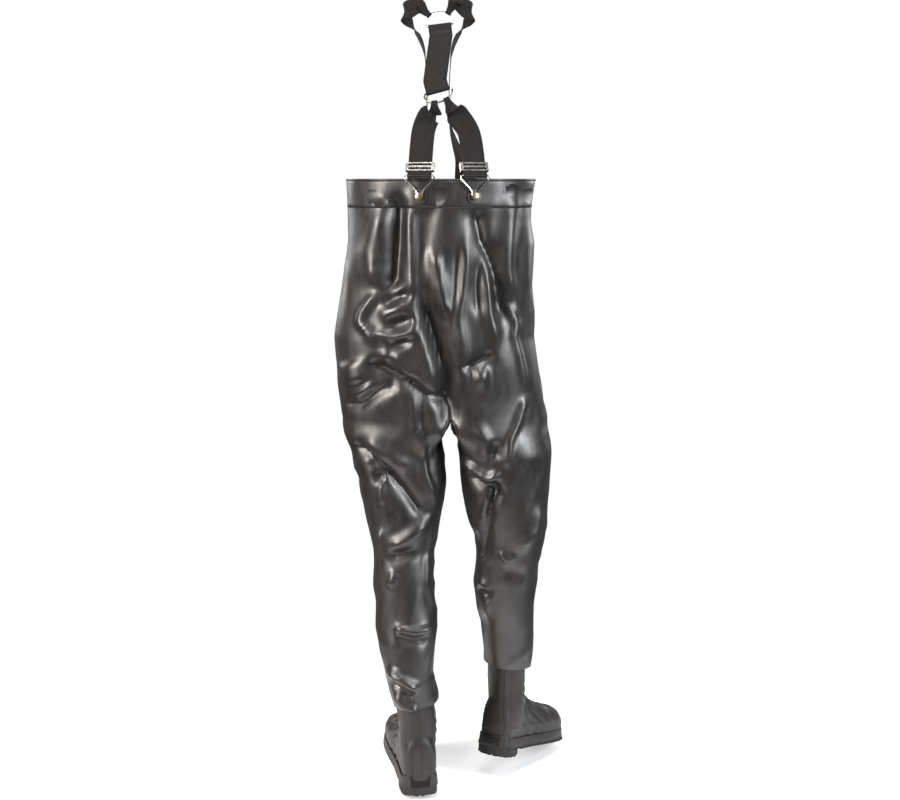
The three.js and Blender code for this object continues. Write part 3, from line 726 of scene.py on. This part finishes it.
def plate(outline, low, high):
    """A flat plate as points and faces."""
    n = len(outline)
    top = np.c_[outline, np.full(n, high)]
    bottom = np.c_[outline, np.full(n, low)]
    quads = [(i, (i + 1) % n, n + (i + 1) % n, n + i) for i in range(n)]
    quads.append(tuple(reversed(range(n))))
    quads.append(tuple(range(n, 2 * n)))
    return np.concatenate([top, bottom]), quads


def joined(parts):
    """Several (points, faces) as one."""
    all_points, all_faces, shift = [], [], 0
    for part_points, part_faces in parts:
        all_points.append(part_points)
        all_faces += [tuple(int(i) + shift for i in f) for f in part_faces]
        shift += len(part_points)
    return np.concatenate(all_points), all_faces


def outward(piece):
    """Makes each closed part's faces look outwards."""
    work = bmesh.new()
    work.from_mesh(piece.data)
    bmesh.ops.recalc_face_normals(work, faces=work.faces)
    work.to_mesh(piece.data)
    work.free()


def bevelled(piece, width, segments=2):
    outward(piece)
    modifier = piece.modifiers.new("bevel", "BEVEL")
    modifier.width = width / 1000
    modifier.segments = segments
    modifier.limit_method = "ANGLE"
    modifier.angle_limit = math.radians(35)
    apply_modifiers(piece)
    piece.data.shade_smooth()
    return piece


def tread_bars(y_from, y_to, step, low, high, grow):
    """Lug bars across the sole, each a shallow chevron that follows the outline."""
    curve = smooth_curve([(y, a) for y, a, _ in FOOT], 200)[::-1]
    parts = []
    y = y_from - step
    while y > y_to + step * 0.3:
        near, far = y + step * 0.62, y
        wide = [np.interp(v, curve[:, 0], curve[:, 1]) + grow for v in (near, far)]
        for sign in (1, -1):
            for inner, outer in ((3, 0.42), (0.46, 1.0)):
                inner_x = [3.0 if inner == 3 else inner * w for w in wide]
                outer_x = [outer * w for w in wide]
                sweep = 5.0 * (0 if inner == 3 else 1)
                corners = [
                    (inner_x[0], near - sweep),
                    (outer_x[0], near - sweep - 4),
                    (outer_x[1], far - sweep - 4),
                    (inner_x[1], far - sweep),
                ]
                outline = np.array([(sign * x, max(v, y_to + 1)) for x, v in corners])
                parts.append(plate(outline, low, high))
        y -= step
    return parts


for side, boot in BOOTS.items():
    x, y, z = boot["at"]
    tx, ty, ta, tb = boot["top"]
    collar = boot["collar"]
    rows = smooth_curve(
        [
            (collar, tx, ty, ta, tb),
            ((collar + z) / 2 + 25, (tx + x) / 2, (ty + y) / 2, 45, 61),
            (z + 62, x, y, 43, 57),
            (z + 20, x, y, 42, 56),
            (z - 20, x, y, 39, 52),
            (z - 46, x, y, 34, 46),
        ],
        40,
    )
    angles = np.linspace(0, 2 * math.pi, 56, endpoint=False)
    shaft = [np.stack([cx + a * np.cos(angles), cy + b * np.sin(angles), np.full(56, h)], 1) for h, cx, cy, a, b in rows]
    foot = [placed(boot, r) for r in foot_rings()]
    shape = joined([capped_loft(shaft), capped_loft(foot)])
    upper = make_piece(f"{side}_boot_upper", *shape, BOOT)
    outward(upper)
    remesh = upper.modifiers.new("join", "REMESH")
    remesh.mode = "VOXEL"
    remesh.voxel_size = 0.0032
    relax = upper.modifiers.new("relax", "SMOOTH")
    relax.factor, relax.iterations = 0.5, 9
    apply_modifiers(upper)
    mesh = upper.data
    co = np.zeros(len(mesh.vertices) * 3)
    mesh.vertices.foreach_get("co", co)
    co = co.reshape(-1, 3)
    facing = np.zeros(len(mesh.vertices) * 3)
    mesh.vertices.foreach_get("normal", facing)
    facing = facing.reshape(-1, 3)
    mm = co * 1000 + (0, HANG_Y, HANG_Z)
    local = (mm - np.array(boot["at"])) @ foot_frame(boot)[:3, :3]
    instep = ramp(10, -60, local[:, 1]) * ramp(-150, -90, local[:, 1])
    ripple = np.sin(2 * math.pi * (local[:, 2] - 0.75 * local[:, 1] + 6 * value_noise(mm, 90, 31)) / 26)
    zone = np.exp(-(((local[:, 2] - 26) / 42) ** 2)) * ramp(30, -35, local[:, 1])
    push = 2.4 * ripple * np.maximum(zone, 0.5 * instep)
    push += 1.2 * value_noise(mm * (1, 1, 0.6), 95, 37) * ramp(-60, 0, local[:, 2])
    line = np.abs(local[:, 2] - (-34 - 0.02 * local[:, 1]))
    push += 1.1 * np.exp(-((line / 2.6) ** 2)) * ramp(-150, -130, local[:, 1])
    co += facing * push[:, None] / 1000
    mesh.vertices.foreach_set("co", co.ravel())
    mesh.shade_smooth()
    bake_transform(upper)
    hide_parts(f"{side}_boot_shaft", f"{side}_boot_ankle", f"{side}_boot_foot")

    # foxing: the raised band round the edge of the sole, higher at the heel and toe
    heights = [(3.2, 0.0), (3.4, 3.0), (2.6, 8.0), (2.2, 16.0), (1.2, 18.5), (-2.5, 19.0), (-3.0, 0.0)]
    loops = []
    for grow, rise in heights:
        outline = sole_outline(grow, 90, -300, 130, 0.9 if rise < 5 and grow > 3 else 0.0)
        tall = 1 + 0.55 * ramp(20, 56, outline[:, 1]) + 0.1 * ramp(-170, -215, outline[:, 1])
        loops.append(placed(boot, np.c_[outline, SOLE_TOP + rise * tall]))
    foxing = around_strip(f"{side}_foxing", loops, BOOT)
    outward(foxing)
    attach(foxing, f"{side}_foot")

    low = SOLE_TOP - SOLE_THICK
    base = plate(sole_outline(2.2, HEEL_FRONT - 0.4, -300, 150, 0.8), SOLE_TOP - 3.4, SOLE_TOP)
    bars = tread_bars(HEEL_FRONT, -230, 15.0, low, SOLE_TOP - 3.3, 2.6)
    shape = joined([base, *bars])
    outsole = make_piece(f"{side}_tread", placed(boot, shape[0]), shape[1], SOLE, smooth=False)
    bevelled(outsole, 0.7)
    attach(outsole, f"{side}_foot")
    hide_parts(f"{side}_outsole")
    heel_low = low - HEEL_THICK
    block = plate(sole_outline(1.6, 90, HEEL_FRONT, 150, 0.8), heel_low + 5, SOLE_TOP)
    lugs = tread_bars(60, HEEL_FRONT, 14.0, heel_low, heel_low + 5.1, 1.6)
    shape = joined([block, *lugs])
    heel = make_piece(f"{side}_heel_block", placed(boot, shape[0]), shape[1], SOLE, smooth=False)
    bevelled(heel, 0.8)
    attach(heel, f"{side}_foot")
    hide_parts(f"{side}_heel")

    # stay: the flat strip up the back of the boot
    count, wide = 40, 8.0
    back_y = [y + 66 for _ in range(count)]
    z_from, z_to = z - 52, collar - 30
    strip = [[(x + u * wide, y + 74, h) for u in np.linspace(-1, 1, 7)] for h in np.linspace(z_from, z_to, count)]
    strip = np.array(strip).reshape(-1, 3)
    quads = [
        (r * 7 + i, r * 7 + i + 1, (r + 1) * 7 + i + 1, (r + 1) * 7 + i) for r in range(count - 1) for i in range(6)
    ]
    stay = make_piece(f"{side}_back_stay", strip, quads, BOOT)
    wrap = stay.modifiers.new("wrap", "SHRINKWRAP")
    wrap.target = upper
    wrap.wrap_method = "PROJECT"
    wrap.use_project_y = True
    wrap.use_negative_direction = True
    wrap.use_positive_direction = False
    wrap.offset = 0.0004
    thick = stay.modifiers.new("thick", "SOLIDIFY")
    thick.thickness = 0.0018
    thick.offset = -1
    apply_modifiers(stay)
    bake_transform(stay)


# ---------------------------------------------------------------- webbing
WEB_THICK = 1.8
WEB_HALF = 25.0
WIRE = 2.0
GAP = 0.4
TURN_R = WIRE + GAP + WEB_THICK / 2 + 1.2
BESIDE = WEB_THICK / 2 + 0.25
TAIL = 25.0
RING_HALF, RING_DEPTH = 30.0, 32.0


def unit(v):
    v = np.asarray(v, float)
    return v / np.linalg.norm(v)


def strap_end(bar, side, half, towards):
    """A strap's end round a bar: the bar's place, along the strap, across it, and its face's direction."""
    across = unit(side)
    along = unit(np.asarray(towards, float) - across * np.dot(towards, across))
    face = np.cross(across, along)
    return dict(bar=np.asarray(bar, float), across=across, along=along, half=half, face=-face if face[1] < 0 else face)


def end_samples(end, wide=WEB_HALF):
    """From the tail beside the strap, round the bar, to the strap: (place, across, half width)."""

    def sample(far, off, half):
        return end["bar"] + end["along"] * far - end["face"] * off, end["across"], half

    half = end["half"]
    widened = (half + wide) / 2
    narrow = half + (widened - half) * 0.25
    samples = [sample(TAIL, BESIDE, widened), sample(10, BESIDE + 0.5, narrow)]
    for t in np.linspace(0, math.pi, 7):
        samples.append(sample(-TURN_R * math.sin(t), TURN_R * math.cos(t), half))
    return samples + [sample(10, -BESIDE - 0.5, narrow), sample(TAIL + 4, -BESIDE, widened)]


def smoothed(samples, times):
    """Samples with one more between each pair, on a smooth curve through them, several times over."""
    for _ in range(times):
        last = len(samples) - 1
        made = []
        for i in range(last):
            (a, u, h), (b, v, k) = samples[i], samples[i + 1]
            outer = samples[max(0, i - 1)][0] + samples[min(last, i + 2)][0]
            made += [samples[i], ((9 * (a + b) - outer) / 16, unit(unit(u) + unit(v)), (h + k) / 2)]
        samples = made + [samples[-1]]
    return samples


def strap_samples(top, bottom, middle=()):
    first, last = end_samples(top), end_samples(bottom)[::-1]
    (a, u, _), (b, v, _) = first[-1], last[0]
    plain = [(a + (b - a) * t, u + (v - u) * t, WEB_HALF) for t in (0.35, 0.65)]
    way = smoothed([first[-1], *(middle or plain), last[0]], 3)
    return first[:-1] + way + last[1:]


ACROSS = 16


def webbing(name, samples):
    """A woven strap: a ribbon with corded edges and UVs that count its ribs."""
    places = np.array([s[0] for s in samples])
    travelled = np.concatenate([[0], np.cumsum(np.linalg.norm(np.diff(places, axis=0), axis=1))])
    rings = []
    u = np.linspace(-1, 1, ACROSS // 2)
    swell = 0.5 * (WEB_THICK - 0.35) + 0.18 * (np.abs(u) > 0.8)
    for i, (at, side, half) in enumerate(samples):
        along = unit(places[min(i + 1, len(places) - 1)] - places[max(i - 1, 0)])
        across = unit(side - along * np.dot(side, along))
        face = np.cross(along, across)
        upper = at + np.outer(u * half, across) + np.outer(swell, face)
        lower = (at + np.outer(u * half, across) - np.outer(swell, face))[::-1]
        rings.append(np.concatenate([upper, lower]))
    shape, quads = capped_loft(rings)
    made = make_piece(name, shape, quads, WEBBING)
    outward(made)
    layer = made.data.uv_layers.new(name="weave")
    size = ACROSS
    u_of = np.concatenate([u, u[::-1]]) * 0.5 + 0.5
    for loop in made.data.loops:
        v = loop.vertex_index
        ring_index, k = min(v // size, len(samples) - 1), v % size
        layer.data[loop.index].uv = (u_of[k], travelled[ring_index] / 1.7)
    return made


def stitching(name, samples, body):
    """Rows of thread across a strap near both ends, on both faces."""
    parts = []
    places = np.array([s[0] for s in samples])
    for index in (1, len(samples) - 2):
        at, side, half = samples[index]
        other = samples[index + (1 if index == 1 else -1)][0]
        tail = samples[0 if index == 1 else -1][0]
        along = unit(tail - at)
        across = unit(side - along * np.dot(side, along))
        face = np.cross(along, across)
        for row in (4.0, 7.5):
            for u in np.arange(-half + 2.5, half - 2.0, 3.4):
                for out_by in (WEB_THICK / 2 + 0.1, -3.4):
                    middle = at + along * (row + 4) + across * u + face * out_by
                    a, b = middle - across * 1.1, middle + across * 1.1
                    ring_a = [a + along * 0.35 * c + face * 0.35 * s for c, s in ((1, 0), (0, 1), (-1, 0), (0, -1))]
                    ring_b = [p + (b - a) for p in ring_a]
                    parts.append(capped_loft([np.array(ring_a), np.array(ring_b)]))
    shape, quads = joined(parts)
    made = make_piece(name, shape, quads, THREAD)
    outward(made)
    return made


def tilted(degrees):
    t = math.radians(degrees)
    return np.array([math.cos(t), 0, -math.sin(t)])


def bow_point(u):
    power = 0.75
    return 4 + (RING_DEPTH - 4) * (1 - (abs(u) / RING_HALF) ** (2 / power)) ** (power / 2)


def on_bow(bar, across, bow, u):
    """Where webbing wraps a D ring's bow, and the bow's direction there."""
    point = lambda v: bar + across * v + bow * bow_point(v)
    return point(u), unit(point(u + 2) - point(u - 2))


TOP_BAR = np.array([-4, HANG_Y, HANG_Z - RING_DEPTH])
LOWER_BAR = np.array([0.0, 92, 1552])
TOP_ACROSS, TOP_BOW = tilted(7), np.array([math.sin(math.radians(7)), 0, math.cos(math.radians(7))])
STRAP_DOWN = unit(LOWER_BAR - TOP_BAR)
LOWER_ACROSS = tilted(15)
LOWER_BOW = unit(STRAP_DOWN - LOWER_ACROSS * np.dot(STRAP_DOWN, LOWER_ACROSS))
BAR_HALF = RING_HALF - 5
THREAD = rubber("thread", (0.05, 0.045, 0.04), (0.09, 0.08, 0.07), (0.7, 0.85))

centre = strap_samples(
    strap_end(TOP_BAR, TOP_ACROSS, BAR_HALF, STRAP_DOWN), strap_end(LOWER_BAR, LOWER_ACROSS, BAR_HALF, -STRAP_DOWN)
)
made = webbing("centre_webbing", centre)
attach(made, "bib")
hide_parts("centre_strap")
thread = stitching("centre_stitching", centre, "bib")
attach(thread, "bib")

SLIDE_WAY = 100.0  # a strap is straight this far above its hook, for the slide to travel on
STAND_OFF = 2.6
BUTTONS = {"back": {"left": 36, "right": -76}, "front": {"left": 46, "right": -62}}
RIM_HALF = (203.0, 165.0)
RIM_X = -8.0
for end_name, xs in BUTTONS.items():
    for side, bx in xs.items():
        sign = 1 if side == "left" else -1
        facing = 1 if end_name == "back" else -1
        t = facing * math.acos((bx - RIM_X) / RIM_HALF[0])
        out_dir = unit([math.cos(t) / RIM_HALF[0], math.sin(t) / RIM_HALF[1], 0])
        top_edge = RIM if facing > 0 else RIM - RIM_DROP
        bar = np.array([RIM_X + RIM_HALF[0] * math.cos(t), RIM_HALF[1] * math.sin(t), top_edge + 8])
        bar = bar + out_dir * (STAND_OFF + 5.2)
        across = np.array([abs(out_dir[1]), -out_dir[0] if facing > 0 else out_dir[0], 0])
        low = strap_end(bar, across, WEB_HALF, LOWER_BAR - bar if facing > 0 else (0, 0.2, 1))
        if facing > 0:
            at, along = on_bow(LOWER_BAR, LOWER_ACROSS, LOWER_BOW, sign * 13)
            high = strap_end(at, along, 6, bar - at)
            straight = bar + low["along"] * SLIDE_WAY
            middle = [(straight * 0.45 + at * 0.55, across + along, WEB_HALF), (straight, across, WEB_HALF)]
            samples = strap_samples(high, low, middle)
            made = webbing(f"back_webbing_{side}", samples)
            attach(made, "bib")
            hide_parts(f"back_strap_{side}")
        else:
            at, along = on_bow(TOP_BAR, TOP_ACROSS, TOP_BOW, sign * 22)
            fold_way = [
                ((62, -2, -4), (0.25 * sign, 0, -1), 20),
                ((73, -9, 4), (0.25 * sign, 0.1, -1), 20),
                ((65, -19, 17), (-0.15 * sign, 0.4, -1), 22),
                ((45, -29, 46), (-0.4 * sign, 0.8, -0.45), WEB_HALF),
                ((28, -40, 100), (0, 1, 0), WEB_HALF),
            ]
            middle = [
                (np.array([sign * px, HANG_Y + py, HANG_Z - drop]), np.array(v) * sign, h)
                for (px, py, drop), v, h in fold_way
            ]
            middle += [
                (np.array([sign * 26, -98, HANG_Z - 230]), np.array([0, 1.0, 0]) * sign, WEB_HALF),
                (np.array([bx * 0.86, -138, RIM + 44]), np.array([0.5 * sign, 0.8, 0]) * sign, WEB_HALF),
                (bar + low["along"] * 55, across, WEB_HALF),
            ]
            samples = strap_samples(strap_end(at, along, 6, (sign, 0, 0.25)), low, middle)
            made = webbing(f"shoulder_webbing_{side}", samples)
            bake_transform(made)
            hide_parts(f"shoulder_strap_{side}")
        thread = stitching(f"{end_name}_stitching_{side}", samples[-6:], "bib")
        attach(thread, "bib")


# ---------------------------------------------------------------- carried-over nodes
for name, node in frame["nodes"].items():
    if "ring" in name or "hook" in name or "slide" in name:
        finish = NICKEL
    elif "button" in name:
        finish = BRASS
    elif "insole" in name:
        finish = LINING
    else:
        finish = SKIN
    node.data.materials.clear()
    node.data.materials.append(finish)


# ---------------------------------------------------------------- floor and light
FLOOR_Z = to_row([(0, 0, -8)])[0][2]
FLOOR_RADIUS = 0.75
floor_mesh = bpy.data.meshes.new("floor")
turns = np.linspace(0, 2 * math.pi, 96, endpoint=False)
floor_mesh.from_pydata(
    [(FLOOR_RADIUS * math.cos(t), FLOOR_RADIUS * math.sin(t), FLOOR_Z) for t in turns], [], [tuple(range(96))]
)
floor = bpy.data.objects.new("floor", floor_mesh)
bpy.context.collection.objects.link(floor)
floor_material, floor_tree, floor_shader = node_material("floor")
floor_shader.inputs["Base Color"].default_value = (0.92, 0.92, 0.92, 1)
floor_shader.inputs["Roughness"].default_value = 0.9
floor_shader.inputs["Emission Color"].default_value = (1, 1, 1, 1)
floor_shader.inputs["Emission Strength"].default_value = 0.3
floor_mesh.materials.append(floor_material)

world = bpy.data.worlds.new("world")
world.use_nodes = True
sky = world.node_tree
path = sky.nodes.new("ShaderNodeLightPath")
brightness = sky.nodes.new("ShaderNodeMapRange")
brightness.inputs["To Min"].default_value = ROOM
brightness.inputs["To Max"].default_value = 1.0
sky.links.new(path.outputs["Is Camera Ray"], brightness.inputs["Value"])
sky.nodes["Background"].inputs["Color"].default_value = (1, 1, 1, 1)
sky.links.new(brightness.outputs["Result"], sky.nodes["Background"].inputs["Strength"])
bpy.context.scene.world = world
bpy.context.scene.view_settings.view_transform = "Standard"


def soft_light(name, place, aim, size, power, colour=(1, 1, 1)):
    data = bpy.data.lights.new(name, "AREA")
    data.shape = "RECTANGLE"
    data.size, data.size_y = size
    data.energy = power
    data.color = colour
    made = bpy.data.objects.new(name, data)
    made.location = place
    made.rotation_euler = (Vector(aim) - Vector(place)).to_track_quat("-Z", "Y").to_euler()
    bpy.context.collection.objects.link(made)
    return made


soft_light("left_box", (2.7, 1.9, 0.2), (0, 0, -0.7), (1.2, 2.4), 190, (1.0, 0.93, 0.87))
soft_light("right_box", (-2.7, 1.9, 0.2), (0, 0, -0.7), (1.2, 2.4), 150, (0.95, 0.97, 1.0))
soft_light("top_box", (0.1, 1.4, 2.3), (0, 0, -0.7), (1.4, 0.8), 60)
soft_light("back_left", (2.2, -2.4, 0.4), (0, 0, -0.8), (0.8, 2.2), 40)
soft_light("back_right", (-2.2, -2.4, 0.4), (0, 0, -0.8), (0.8, 2.2), 40)
